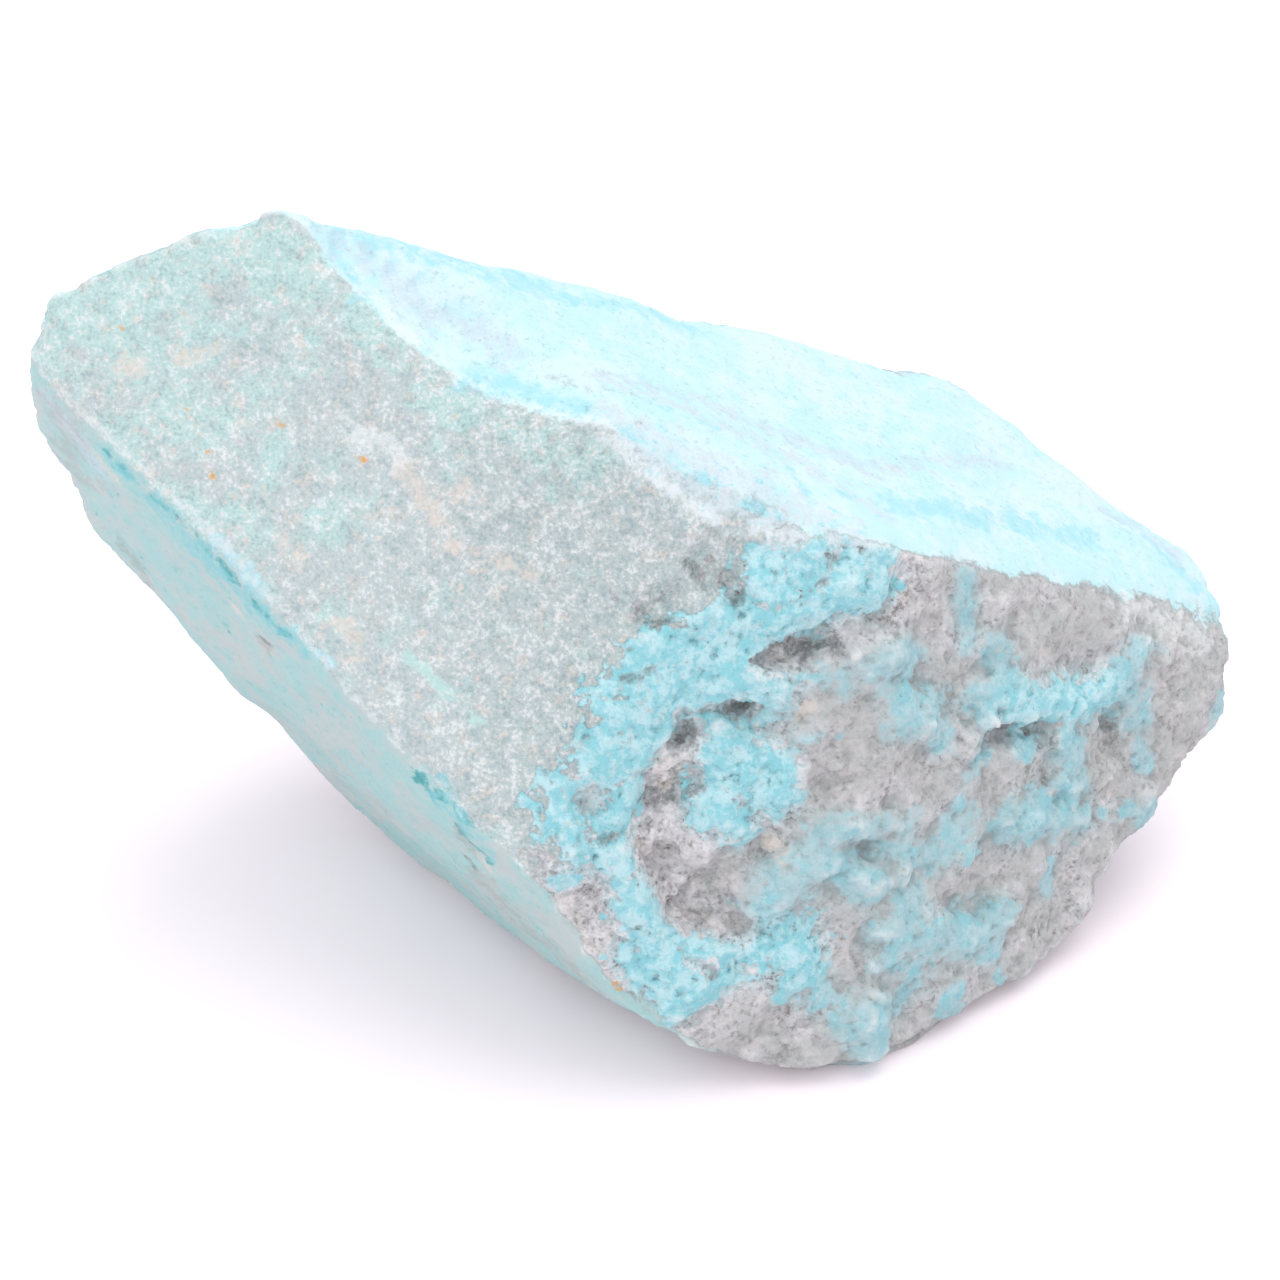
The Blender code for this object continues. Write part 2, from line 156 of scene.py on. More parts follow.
# How far the edges wander, and the size and smoothness of the lumps they wander in.
WANDER, WANDER_SIZE, WANDER_SMOOTH = 0.9, 1.5, 0.45
HOLE_WANDER, PIT_WANDER, PIT_DRAW = 0.8, 0.6, 0.15
# The colour that the crust washes over the rock beside it.
WASH_ROUNDS, WASH_SHARE = 70, 1.5
FLECK_SIZE, FLECK_LEVEL, FLECK_EDGE = 2.2, 0.24, 0.2
BARE_ENDS = (-1.0, 0.5)
# Patches of crust on the breaks that the flat map doesn't reach.
CHANCE_SIZE, CHANCE_SMOOTH, CHANCE_STEP = 9.0, 0.8, 2.1
CHANCE_LEVEL, CHANCE_EDGE, CHANCE_WANDER = 0.05, 12.0, 0.06
# The flat map holds where crust is not left to chance, short of MAP_BACK, on such ground.
MAPPED, MAP_BACK, MAP_GROUND = 0.5, 8.0, (0.3, 0.6)

# Stains and streaks, each a path over the stone. It gives the place of a corner and the half width
# from there on, corner after corner, and then the place of its end.
STAINS = {
    "tan": (
        (-27.3, -1.2, 35.3, 0.9, -26.6, -1.4, 35.0), (-24.2, -0.5, 38.1, 0.5, -23.9, -0.7, 37.9),
        (-24.5, -1.5, 35.9, 0.5, -22.5, -1.6, 36.5), (-9.9, -6.9, 31.5, 1.0, -9.2, -7.3, 31.0),
        (-12.7, -5.9, 32.0, 0.9, -10.9, -7.5, 30.0), (-10.9, -8.1, 28.8, 0.6, -10.0, -8.3, 28.7),
        (-18.9, -6.8, 28.0, 0.9, -18.3, -7.3, 27.6), (-16.7, -9.1, 24.8, 0.9, -14.9, -9.9, 24.0),
        (-7.9, -8.8, 28.4, 0.6, -6.3, -9.3, 27.8), (-5.3, -14.4, 20.0, 0.5, -5.1, -14.7, 19.4),
        (-4.5, -15.6, 18.1, 0.5, -4.2, -15.8, 17.4), (6.2, -14.3, 13.8, 0.7, 7.0, -14.8, 13.4),
        (7.7, -11.8, 20.6, 0.6, 8.3, -11.7, 21.1), (9.4, -8.6, 27.7, 0.4, 9.7, -8.8, 27.5),
        (-29.2, -1.9, 30.0, 0.7, -28.1, -2.2, 28.7), (-22.1, -5.5, 22.8, 0.5, -21.6, -5.8, 22.3),
        (-9.2, -13.6, 12.4, 0.6, -8.6, -13.9, 11.8), (-20.8, -5.7, 20.4, 0.4, -20.4, -6.0, 20.0),
        (12.7, 1.7, 27.0, 0.4, 13.3, 1.8, 26.6),
    ),
    "rust": (
        (-19.1, -4.0, 33.5, 0.34, -19.0, -4.1, 33.4), (-23.1, -4.0, 31.9, 0.26, -22.9, -4.1, 31.8),
        (-23.0, -4.5, 30.8, 0.28, -22.7, -4.6, 30.7), (-15.0, -5.3, 32.5, 0.22, -14.8, -5.4, 32.3),
        (-27.5, -0.4, 37.1, 0.2, -27.5, -0.4, 37.0), (-24.1, -2.7, 33.6, 0.18, -24.0, -2.7, 33.6),
        (-2.1, -18.0, 7.3, 0.25, -1.8, -18.0, 6.8),
    ),
    "aqua": (
        (-12.8, -10.5, 23.5, 0.45, -11.0, -11.6, 22.4, 0.4, -8.7, -12.8, 20.8),
        (-13.2, -9.1, 26.0, 0.3, -12.9, -9.3, 25.8),
    ),
    "glow": (
        (-28.4, -2.7, 30.3, 1.1, -25.2, -4.8, 28.0, 1.7, -22.4, -6.2, 25.2, 1.2, -18.4, -9.1, 22.8),
        (-11.1, -13.8, 17.1, 1.6, -8.8, -14.8, 13.9),
    ),
    "green": (
        (-29.1, -0.1, 36.8, 2.4, -24.8, 0.3, 39.2), (-20.6, 0.6, 41.2, 2.4, -16.5, -1.3, 39.3),
        (-15.8, -1.0, 39.0, 2.2, -10.5, -4.5, 35.0, 2.0, -3.5, -6.8, 33.0),
    ),
    "lilac": (
        (26.1, 9.1, 18.2, 1.4, 30.2, 8.1, 16.0),
        (-16.3, 1.6, 41.4, 1.2, -13.0, 0.3, 38.8, 1.2, -7.6, -1.1, 36.2),
        (-2.7, -2.1, 35.5, 0.6, 2.5, 0.0, 32.4, 0.9, 7.8, -0.1, 29.8, 1.0, 11.6, 0.4, 27.8, 0.9,
         19.6, 8.5, 22.3),
        (-31.5, -0.8, 32.9, 1.2, -29.5, -1.1, 28.9),
    ),
    "frost": (
        (-2.7, -4.5, 35.1, 0.9, 0.4, -5.7, 33.7),
        (-1.4, -5.9, 34.5, 1.6, 2.4, -6.3, 32.7, 2.4, 6.5, -6.8, 30.7, 2.0, 10.2, -7.2, 29.2),
        (-0.6, -6.7, 33.7, 1.5, 2.4, -7.6, 31.9, 1.8, 6.8, -7.8, 30.1),
        (-3.2, -2.7, 35.5, 0.9, 2.5, -1.9, 32.7, 1.3, 7.7, -2.4, 30.0, 1.3, 11.9, -3.9, 27.9),
    ),
    "strip": (
        (-9.3, -3.7, 35.8, 0.9, -3.2, -4.8, 35.0), (-1.6, -5.9, 34.6, 0.4, 0.1, -6.2, 33.7),
        (-0.1, -3.1, 34.3, 0.4, 3.5, -2.6, 32.3), (1.0, -6.7, 33.1, 0.6, 2.7, -7.0, 32.2),
        (7.2, -3.8, 30.5, 0.5, 8.2, -5.8, 30.0), (4.6, -7.5, 31.0, 0.45, 6.8, -7.8, 30.1),
        (9.4, -3.6, 29.3, 0.4, 10.4, -4.0, 28.7),
        (-22.8, -6.2, 27.4, 0.8, -20.3, -7.8, 25.5, 0.5, -16.8, -10.3, 22.5),
        (29.5, 7.0, 16.6, 1.3, 32.1, 5.6, 14.4), (26.7, 9.0, 17.9, 0.8, 29.2, 7.1, 16.8),
        (12.5, -2.7, 27.5, 1.3, 18.3, 0.8, 23.9), (18.4, 1.4, 23.8, 1.6, 24.4, 4.7, 19.7),
        (-16.3, 1.4, 41.3, 0.8, -14.9, -0.6, 39.4), (-9.4, -2.8, 35.9, 0.8, -4.7, -3.8, 35.0),
        (-15.6, 2.6, 41.2, 2.0, -9.5, 3.2, 38.5),
        (-9.5, 3.2, 38.4, 1.9, -4.9, 4.6, 36.0, 1.0, 2.6, 7.8, 31.6),
    ),
    "deep": (
        (-28.6, -2.6, 30.9, 0.35, -26.2, -4.0, 29.0, 0.5, -24.1, -5.4, 27.7, 0.6,
         -21.8, -6.9, 25.5, 0.4, -18.9, -8.6, 23.0),
        (-12.1, -13.0, 17.2, 0.8, -9.5, -15.2, 16.3), (-10.4, -14.0, 14.9, 0.5, -8.7, -14.2, 12.6),
        (1.3, -7.0, 32.9, 0.4, 1.6, -7.1, 32.7), (2.4, -7.2, 32.3, 0.4, 2.7, -7.3, 32.0),
        (5.4, -7.5, 30.7, 0.4, 5.7, -7.7, 30.5),
    ),
    "bleach": (
        (-15.5, -4.4, 33.8, 0.9, -13.0, -5.5, 32.6), (-13.6, -11.1, 22.0, 0.4, -13.0, -11.5, 21.4),
        (-15.5, 0.7, 40.4, 0.5, -12.9, -1.8, 37.9, 0.7, -10.1, -3.3, 36.2, 0.4, -6.8, -4.3, 35.0, 0.4,
         -2.7, -5.8, 34.8, 0.6, -0.1, -7.5, 32.8, 0.6, 2.4, -8.6, 31.3, 0.5, 6.5, -8.5, 29.7, 0.5,
         12.6, -6.9, 27.7),
        (-30.8, -1.3, 33.5, 0.4, -28.2, -2.9, 31.7, 0.5, -23.5, -5.6, 28.3, 0.5,
         -18.9, -8.5, 24.5, 0.4, -13.2, -12.6, 18.8, 0.4, -5.8, -17.0, 13.8, 0.4, -3.6, -17.8, 9.5),
        (26.4, 0.8, 18.1, 1.4, 30.9, 3.0, 14.3),
    ),
    "grey": (
        (-31.0, -1.1, 32.4, 2.0, -31.0, 1.3, 26.9),
        (-9.2, -12.4, 9.6, 2.0, -7.1, -12.7, 7.0, 2.2, -4.0, -15.0, 6.0),
    ),
    "earth": (
        (-28.8, 1.3, 21.9, 1.0, -27.4, 2.3, 17.3), (-20.8, -6.0, 21.0, 0.6, -20.5, -5.8, 19.8),
        (-10.4, -14.0, 14.9, 0.8, -9.4, -13.2, 11.9), (-5.2, -2.5, 35.4, 0.25, -3.5, -3.3, 35.3),
        (-2.7, -3.3, 35.4, 0.22, -0.1, -3.1, 34.3),
    ),
    # Dark spots in and beside the crust: partly the rock's dark grains, partly painted shade in crevices.
    "soot": (
        (-14.0, -6.6, 30.6, 0.12, -13.9, -6.6, 30.5), (-3.3, -4.7, 35.0, 0.2, -0.6, -5.2, 34.3),
        (-0.2, -14.0, 16.6, 0.5, 2.4, -13.9, 17.4),
        (-0.6, -14.4, 17.2, 0.6, 0.8, -13.4, 16.8, 0.5, 2.0, -12.9, 17.6),
        (-1.6, -13.0, 23.9, 0.4, -0.3, -12.8, 24.2), (-1.5, -14.3, 20.8, 0.4, -1.2, -14.0, 21.4),
        (3.7, -12.0, 21.1, 0.45, 4.6, -11.2, 20.7), (6.9, -10.0, 23.4, 0.4, 8.8, -9.6, 23.5),
        (1.9, -9.6, 29.0, 0.5, 2.4, -10.0, 27.7), (-0.1, -11.2, 26.2, 0.5, 0.8, -11.2, 26.4),
        (-2.7, -16.2, 15.7, 0.4, -1.8, -15.7, 15.6), (-2.9, -16.4, 14.1, 0.4, -2.5, -16.5, 13.3),
        (4.2, -10.3, 26.6, 0.4, 4.6, -10.0, 27.4), (-20.7, -6.1, 21.3, 0.3, -20.4, -6.4, 21.1),
        (-9.9, -12.4, 11.3, 0.4, -9.5, -12.8, 11.1), (-24.9, -4.9, 28.4, 0.2, -24.3, -5.3, 27.9),
    ),
}
# A low ridge across the granular break.
GRANULAR_RIDGE = (
    (-14.9, -9.7, 24.4, 1.0, -13.0, -9.1, 26.2, 1.0, -9.8, -8.3, 29.0, 0.9, -4.7, -6.9, 32.7),
)
# Grains that reach past the granular break, over its neighbours.
SUGAR_OVER_ALL = (
    (0.1, -8.0, 32.2, 1.4, 1.9, -9.2, 30.6), (2.4, -8.2, 31.4, 1.2, 5.5, -8.3, 30.2),
    (-0.6, -9.2, 29.9, 1.2, 0.1, -10.2, 28.2), (-2.7, -10.6, 26.6, 0.9, -1.9, -11.9, 25.6),
    (1.9, -9.6, 29.0, 1.4, 2.7, -10.7, 27.2), (4.0, -9.2, 28.7, 0.7, 4.2, -9.5, 28.0),
    (-0.1, -10.5, 26.4, 0.7, 1.0, -11.3, 26.3),
)


# Settings a user would change.


def linear(*screen):
    """A screen colour, 0 to 255, as the linear colour that shaders take."""
    shares = [value / 255.0 for value in screen]
    return tuple(v / 12.92 if v <= 0.04045 else ((v + 0.055) / 1.055) ** 2.4 for v in shares)


def length(name, text, default):
    return FloatProperty(name=name, description=text, default=default, unit="LENGTH", subtype="DISTANCE")


def paint(name, text, *default):
    return FloatVectorProperty(
        name=name, description=text, default=linear(*default), size=3, min=0.0, max=1.0, subtype="COLOR"
    )


class StoneSizes(bpy.types.PropertyGroup):
    face_size: length("Face size", "Size of the faces worked on", 0.2 * MM)
    triangles: IntProperty(name="Triangles", description="Triangles kept", default=194000)
    crust_lift: length("Crust lift", "How far the crust stands over the rock", 0.12 * MM)
    crust_bead: length("Crust beads", "Height of the crust's round beads", 0.04 * MM)
    pit_depth: length("Pit depth", "Depth of the dark pits", 0.16 * MM)
    edge_nick: length("Edge nicks", "Depth of the chips along the sharp edges", 0.3 * MM)
    ridge_rise: length("Ridge rise", "Height of the low ridge", 0.16 * MM)
    foot_tuck: length("Foot tuck", "How far the foot's rim draws in", 1.0 * MM)
    seam_depth: length("Seam depth", "Depth of the seams across the blue top", 0.12 * MM)


class StoneColours(bpy.types.PropertyGroup):
    sugar_pale: paint("Pale grains", "Palest grains", 205, 211, 211)
    sugar_green: paint("Green grains", "Greener clouds of the grains", 167, 196, 193)
    sugar_grey: paint("Grey grains", "Greyer clouds of the grains", 172, 184, 184)
    sugar_dark: paint("Dark grains", "Darkest grains", 145, 164, 166)
    sugar_cream: paint("Cream grains", "Cream clouds of the grains", 195, 187, 178)
    rubble_pale: paint("Pale rubble", "Pale crumbs of the rock", 214, 211, 212)
    rubble_grey: paint("Grey rubble", "Body of the rock", 190, 190, 192)
    rubble_dark: paint("Dark rubble", "Dark crumbs of the rock", 114, 110, 109)
    crust_pale: paint("Pale crust", "Beads of the crust", 172, 208, 213)
    crust_blue: paint("Blue crust", "Body of the crust", 130, 191, 199)
    crust_deep: paint("Deep crust", "Hollows of the crust", 84, 148, 158)
    blue_pale: paint("Pale blue", "Washed-out coating of the top", 188, 209, 213)
    blue_skin: paint("Blue skin", "Coating of the top", 173, 208, 211)
    blue_deep: paint("Deep blue", "Thick coating of the top", 148, 199, 207)
    teal_grey: paint("Teal grey", "Body of the undercut", 171, 184, 183)
    teal_skin: paint("Teal skin", "Coating of the undercut", 152, 188, 187)
    teal_deep: paint("Deep teal", "Thick coating of the undercut", 74, 150, 152)
    tan: paint("Tan", "Tan stains", 206, 194, 183)
    rust: paint("Rust", "Rust specks", 205, 150, 80)
    mist: paint("Mist", "Thin wash where the crust fades", 148, 167, 171)
    stone_grey: paint("Stone grey", "Bare patches of the coating", 158, 162, 160)
    earth: paint("Earth", "Soft brown patches", 140, 148, 144)
    frost: paint("Frost", "Granular band across the top", 190, 198, 206)
    lilac: paint("Lilac", "Lilac seams", 178, 193, 203)
    aqua: paint("Aqua", "Pale green-blue streak", 168, 205, 200)
    glow: paint("Teal glow", "Thicker coating under the keel", 122, 184, 190)
    chalk: paint("Chalk", "Worn edges and bleached patches", 212, 218, 218)
    # Dark spots, and the colour of the painted shade in hollows, pits and on the dim side of the granular
    # break.
    soot: paint("Soot", "Dark hollows", 104, 108, 107)


class StudioSettings(bpy.types.PropertyGroup):
    aim: FloatVectorProperty(
        name="Aim", description="Where the camera looks", size=3, subtype="TRANSLATION", unit="LENGTH",
        default=(-0.65 * MM, -9.6 * MM, 23.8 * MM),
    )
    distance: length("Distance", "From the camera to the aim", 184.5 * MM)
    elevation: FloatProperty(
        name="Elevation", description="Camera above the horizon", subtype="ANGLE", default=math.radians(38)
    )
    lens: FloatProperty(name="Lens", description="Focal length", unit="CAMERA", default=100.0)
    floor_width: length("Floor width", "Side of the square floor", 4.0)
    sky: FloatProperty(name="Sky", description="Strength of the white surround", default=1.2)
    key: FloatProperty(name="Key", description="Large soft light, upper right", default=1.7, unit="POWER")
    fill: FloatProperty(name="Fill", description="Soft light, front left", default=0.8, unit="POWER")
    floor_tint: paint("Floor", "Colour of the floor", 244, 236, 240)
    sky_tint: paint("Surround", "Colour of the surround", 252, 251, 255)


# Working the surface, in millimetres.


class Surface:
    """A mesh's vertices as arrays, worked all together."""

    def __init__(self, mesh):
        self.mesh = mesh
        self.count = len(mesh.vertices)
        ends = np.empty(len(mesh.edges) * 2, np.int32)
        mesh.edges.foreach_get("vertices", ends)
        self.ends = ends.reshape(-1, 2)
        self.neighbours = np.bincount(ends, minlength=self.count)
        self.places = np.empty(self.count * 3)
        mesh.vertices.foreach_get("co", self.places)
        self.places = self.places.reshape(-1, 3)

    def spread(self, values):
        """The mean of each vertex's neighbours, for one number or three at each vertex."""
        if values.ndim > 1:
            return np.array([self.spread(column) for column in values.T]).T
        first, last = self.ends.T
        total = np.bincount(first, values[last], self.count)
        total += np.bincount(last, values[first], self.count)
        return total / self.neighbours

    def soften(self, values, rounds):
        for _ in range(rounds):
            values = 0.5 * values + 0.5 * self.spread(values)
        return values

    def write(self):
        self.mesh.vertices.foreach_set("co", self.places.ravel())
        self.mesh.update()

    def normals(self):
        self.write()
        facing = np.empty(self.count * 3)
        self.mesh.vertices.foreach_get("normal", facing)
        return facing.reshape(-1, 3)


def ramp(values, low, high):
    """0 at low, 1 at high, with soft ends."""
    share = np.clip((values - low) / (high - low), 0.0, 1.0)
    return share * share * (3.0 - 2.0 * share)


def cloud(places, size, octaves=2, smooth=1.0, step=2.0):
    """Soft noise, about -1 to 1, with lumps of the size. The less smooth, the more ragged. Each
    octave is finer than the last by the step."""
    return np.array([noise.fractal(spot, smooth, step, octaves) for spot in (places / size).tolist()])


def fading(flat, chance):
    """How far the crust has faded into a thin wash, 0 to 1, on the crusted breaks."""
    strong = ramp(flat_gap(flat, STRONG_STROKES), *FADED_ENDS)
    return (1.0 - strong) * (chance < MAPPED)


def shards(places, size):
    """Broken facets: each small cell of the rock has its own tilt and rise."""
    heights = []
    for spot in (places / size).tolist():
        place = Vector(spot)
        seed = noise.voronoi(place)[1][0]
        tilt = noise.cell_vector(seed * TILT_STRIDE) - Vector((0.5, 0.5, 0.5))
        heights.append((place - seed).dot(tilt) * SHARD_TILT + noise.noise(seed * RISE_STRIDE))
    return np.array(heights)


def beads(places, size):
    """Small round beads that touch: 1 at the middle of each and 0 between them."""
    return np.array([1.0 - min(noise.voronoi(spot)[0][0], 1.0) for spot in (places / size).tolist()])


def stroke_gap(places, strokes, shares=False):
    """How far inside the nearest stroke's edge each place is, negative outside. As shares, it is
    1 on the stroke's line and 0 at its edge."""
    best = np.full(len(places), -math.inf)
    for start, end, half_width in strokes:
        start = np.array(start)
        run = np.array(end) - start
        along = np.clip((places - start) @ run / (run @ run), 0.0, 1.0)
        gap = np.linalg.norm(places - start - along[:, None] * run, axis=1)
        best = np.maximum(best, 1.0 - gap / half_width if shares else half_width - gap)
    return best


def path_gap(places, paths, shares=False):
    """The same for paths over the stone."""
    strokes = [
        (path[at:at + 3], path[at + 4:at + 7], path[at + 3])
        for path in paths for at in range(0, len(path) - 3, 4)
    ]
    return stroke_gap(places, strokes, shares)


def flat_gap(flat, strokes):
    """The same for strokes on the flat map."""
    return stroke_gap(flat, [((x0, y0), (x1, y1), half) for x0, y0, x1, y1, half in strokes])


def crust_map(places):
    """Millimetres across and up the crusted breaks from the crown."""
    facing = Vector(CRUST_FACING).normalized()
    across = Vector((0.0, 0.0, 1.0)).cross(facing).normalized()
    up = facing.cross(across)
    offsets = places - np.array(CROWN)
    return np.array([offsets @ np.array(across), offsets @ np.array(up)]).T


def fine_copy(name, face_size):
    """A copy of the solid in millimetres, closed, with small even faces."""
    shape = bmesh.new()
    shape.from_mesh(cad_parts[NODE].data)
    bmesh.ops.remove_doubles(shape, verts=shape.verts, dist=1e-6)
    bmesh.ops.scale(shape, vec=(1.0 / MM, 1.0 / MM, 1.0 / MM), verts=shape.verts)
    mesh = bpy.data.meshes.new(name)
    shape.to_mesh(mesh)
    shape.free()
    stone = add_object(name, mesh)
    remesh = stone.modifiers.new("even_faces", "REMESH")
    remesh.mode = "VOXEL"
    remesh.voxel_size = face_size / MM
    apply_modifiers(stone)
    return stone


def add_object(name, data):
    thing = bpy.data.objects.new(name, data)
    bpy.context.scene.collection.objects.link(thing)
    return thing


def apply_modifiers(thing):
    """Bakes the object's modifiers into its mesh."""
    bpy.context.view_layer.update()
    graph = bpy.context.evaluated_depsgraph_get()
    baked = bpy.data.meshes.new_from_object(thing.evaluated_get(graph))
    thing.modifiers.clear()
    thing.data = baked


# Rounds that soften the facing, and its length then at an edge and on a flat face.
FLAT_ROUNDS, FLAT_FROM, FLAT_TO = 24, 0.93, 0.975
# How far each round eases a place towards its neighbours.
SOFT_ROUNDS, EDGE_EASE, FLAT_EASE, RUBBLE_KEPT, CRUST_EASE, FOOT_EASE = 40, 0.08, 0.6, 0.85, 0.35, 0.7
# Heights over the floor: the rounded foot, the tucked rim, and where the relief starts.
FOOT_HEIGHT, TUCK_HEIGHT, REST_CLEAR = 2.0, 1.4, (0.05, 0.6)
SUGAR_EDGE = (-0.5, 0.5)
STAIN_RAG, STAIN_GAIN = 0.9, 1.3
# Rounds of softening that bulges stand out from, and those that show as worn or as hollows, which get
# painted shade.
BULGE_ROUNDS, BROAD_ROUNDS = 6, 40
WORN_ENDS, HOLLOW_ENDS = (0.08, 0.35), (0.01, 0.09)
HOLLOW_BROAD, HOLLOW_FADED = 0.3, 0.1
GREEN_SWING, GREEN_MIDDLE, GREEN_ENDS = 0.8, 0.35, (-24.0, -13.0)
# Where the granular break is darkened towards its right, along x: painted shade.
DIM_ENDS = (-17.0, -2.0)


def wear_facets(surface, facing, rubble, crust):
    """Smooths the solid's flat faces away, rounds its foot and leaves its real edges. Returns how
    sharp each place is."""
    flat = ramp(np.linalg.norm(facing, axis=1), FLAT_FROM, FLAT_TO)
    foot = ramp(surface.places[:, 2], FOOT_HEIGHT, 0.0)
    ease = EDGE_EASE + FLAT_EASE * flat * (1.0 - RUBBLE_KEPT * rubble)
    ease = np.maximum(np.maximum(ease, CRUST_EASE * crust), FOOT_EASE * foot)
    for _ in range(SOFT_ROUNDS):
        surface.places += (surface.spread(surface.places) - surface.places) * ease[:, None]
    return (1.0 - flat) * (1.0 - foot)


def ground_shares(surface, facing):
    """Each place's share of every ground and of chance crust, from the breaks it lies on."""
    misfits = []
    for place, way, *_ in BREAKS.values():
        way = np.array(way) / np.linalg.norm(way)
        depth = np.abs((surface.places - np.array(place)) @ way)
        misfits.append(depth / BREAK_REACH + (1.0 - facing @ way) / BREAK_TURN)
    misfits = np.array(misfits)
    shares = np.exp(misfits.min(axis=0) - misfits)
    shares /= shares.sum(axis=0)
    grounds = {ground: np.zeros(surface.count) for ground in RELIEF}
    chance = np.zeros(surface.count)
    for share, (_, _, ground, crusted) in zip(shares, BREAKS.values()):
        grounds[ground] += share
        chance += share * crusted
    return grounds, chance


def crust_cover(places, grounds, chance, wander):
    """Where crust lies and where pits are, 0 to 1."""
    flat = crust_map(places)
    near = (chance < MAPPED) * (places[:, 1] < MAP_BACK)
    front = ramp(grounds["rubble"] + grounds["sugar"], *MAP_GROUND) * near
    holes = flat_gap(flat, HOLE_STROKES) + HOLE_WANDER * wander
    strokes = flat_gap(flat, CRUST_STROKES) + CRUST_SPREAD + wander
    strokes = np.minimum(strokes, -holes)
    bare = np.maximum(flat_gap(flat, BARE_STROKES), holes)
    flecks = ramp(cloud(places, FLECK_SIZE, 5), FLECK_LEVEL, FLECK_LEVEL + FLECK_EDGE)
    flecks *= (1.0 - ramp(bare, *BARE_ENDS)) * grounds["rubble"] * near
    fade = STROKE_FADE + FADED_FADE * fading(flat, chance)
    crust = np.maximum(ramp(strokes, -fade, fade) * front, flecks)
    pits = flat_gap(flat, PIT_STROKES) + wander * PIT_WANDER - PIT_DRAW
    pits = ramp(pits, -STROKE_FADE, STROKE_FADE) * front * (1.0 - crust)
    patch = cloud(places, CHANCE_SIZE, 5, CHANCE_SMOOTH, CHANCE_STEP)
    patch = patch - CHANCE_LEVEL + wander * CHANCE_WANDER
    return np.maximum(crust, ramp(patch, 0.0, 1.0 / CHANCE_EDGE) * chance), pits


def lay_grains_over(places, grounds, wander):
    """Turns the neighbours' ground to granular ground where the grains reach over it."""
    over = ramp(path_gap(places, SUGAR_OVER_ALL) + wander, *SUGAR_EDGE)
    for ground in ("blue", "rubble"):
        grounds["sugar"] = grounds["sugar"] + over * grounds[ground]
        grounds[ground] = grounds[ground] * (1.0 - over)


def stain_masks(places, crumb):
    """Where each stain lies: 1 along its strokes, with ragged edges."""
    masks = {}
    for name, paths in STAINS.items():
        share = path_gap(places, paths, shares=True)
        masks[name] = np.clip((share + crumb * STAIN_RAG) * STAIN_GAIN, 0.0, 1.0)
    return masks


def relief_heights(places, sizes, grounds, cover, stains, crumb):
    """How far each place stands out from the worn solid."""
    crust, faded = cover["crust"], cover["faded"]
    reliefs = np.array([grounds[ground] for ground in RELIEF]).T @ np.array(list(RELIEF.values()))
    reliefs *= (1.0 - FADED_RELIEF * faded * grounds["rubble"])[:, None]
    swell, shard, crumble, grit = reliefs.T
    heights = swell * cloud(places, SWELL_SIZE)
    heights += shard * shards(places, SHARD_SIZE) * (1.0 - SHARDS_HIDDEN * crust)
    heights += shard * shards(places, SPLINTER_SIZE) * SPLINTER_SHARE
    heights += crumble * crumb * (1.0 - CRUMBS_HIDDEN * crust)
    heights += grit * cloud(places, GRIT_SIZE)
    lift = sizes.crust_lift * (1.0 - FADED_LIFT * faded) + sizes.crust_bead * beads(places, BEAD_SIZE)
    heights += crust * lift / MM
    heights -= cover["pit"] * (1.0 - FADED_PITS * faded) * sizes.pit_depth / MM
    heights -= stains["lilac"] * grounds["blue"] * sizes.seam_depth / MM * (SEAM_FLOOR + crumb)
    nicks = np.clip(cloud(places, NICK_SIZE, 3) + NICK_LEVEL, 0.0, 1.0)
    heights -= cover["sharp"] * nicks * sizes.edge_nick / MM
    ridge = np.clip(path_gap(places, GRANULAR_RIDGE, shares=True), 0.0, 1.0)
    return heights + ridge * sizes.ridge_rise / MM * (RIDGE_FLOOR + crumb)


def raise_surface(surface, facing, heights, foot_tuck):
    """Moves the surface out by its relief, tucks the foot's rim in and keeps the rest face flat."""
    over_floor = surface.places[:, 2].copy()
    surface.places += facing * (heights * ramp(over_floor, *REST_CLEAR))[:, None]
    outward = facing * np.array((1.0, 1.0, 0.0))
    surface.places -= outward * (ramp(over_floor, TUCK_HEIGHT, 0.0) * foot_tuck / MM)[:, None]
    surface.places[:, 2] = np.maximum(surface.places[:, 2], 0.0)


def colour_masks(surface, grounds, cover):
    """Where each ground, the crust, pits, worn edges and the painted shade of hollows show, 0 to 1."""
    facing = surface.normals()
    bulge = ((surface.places - surface.soften(surface.places, BULGE_ROUNDS)) * facing).sum(axis=1)
    broad = ((surface.places - surface.soften(surface.places, BROAD_ROUNDS)) * facing).sum(axis=1)
    crust, faded = cover["crust"], cover["faded"]
    # Hollows: where the surface dips below its softened self, to be darkened as painted shade.
    hollow_shade = ramp(-bulge - HOLLOW_BROAD * broad, *HOLLOW_ENDS)
    return {
        **{name: grounds[name] for name in ("blue", "rubble", "teal")},
        "crust": crust,
        "wash": np.clip(surface.soften(crust, WASH_ROUNDS) * WASH_SHARE, 0.0, 1.0),
        "faded": faded,
        "pit": cover["pit"],
        "worn": ramp(broad, *WORN_ENDS) * cover["sharp"],
        "hollow_shade": hollow_shade * np.maximum(grounds["rubble"], crust) * (1.0 - HOLLOW_FADED * faded),
    }


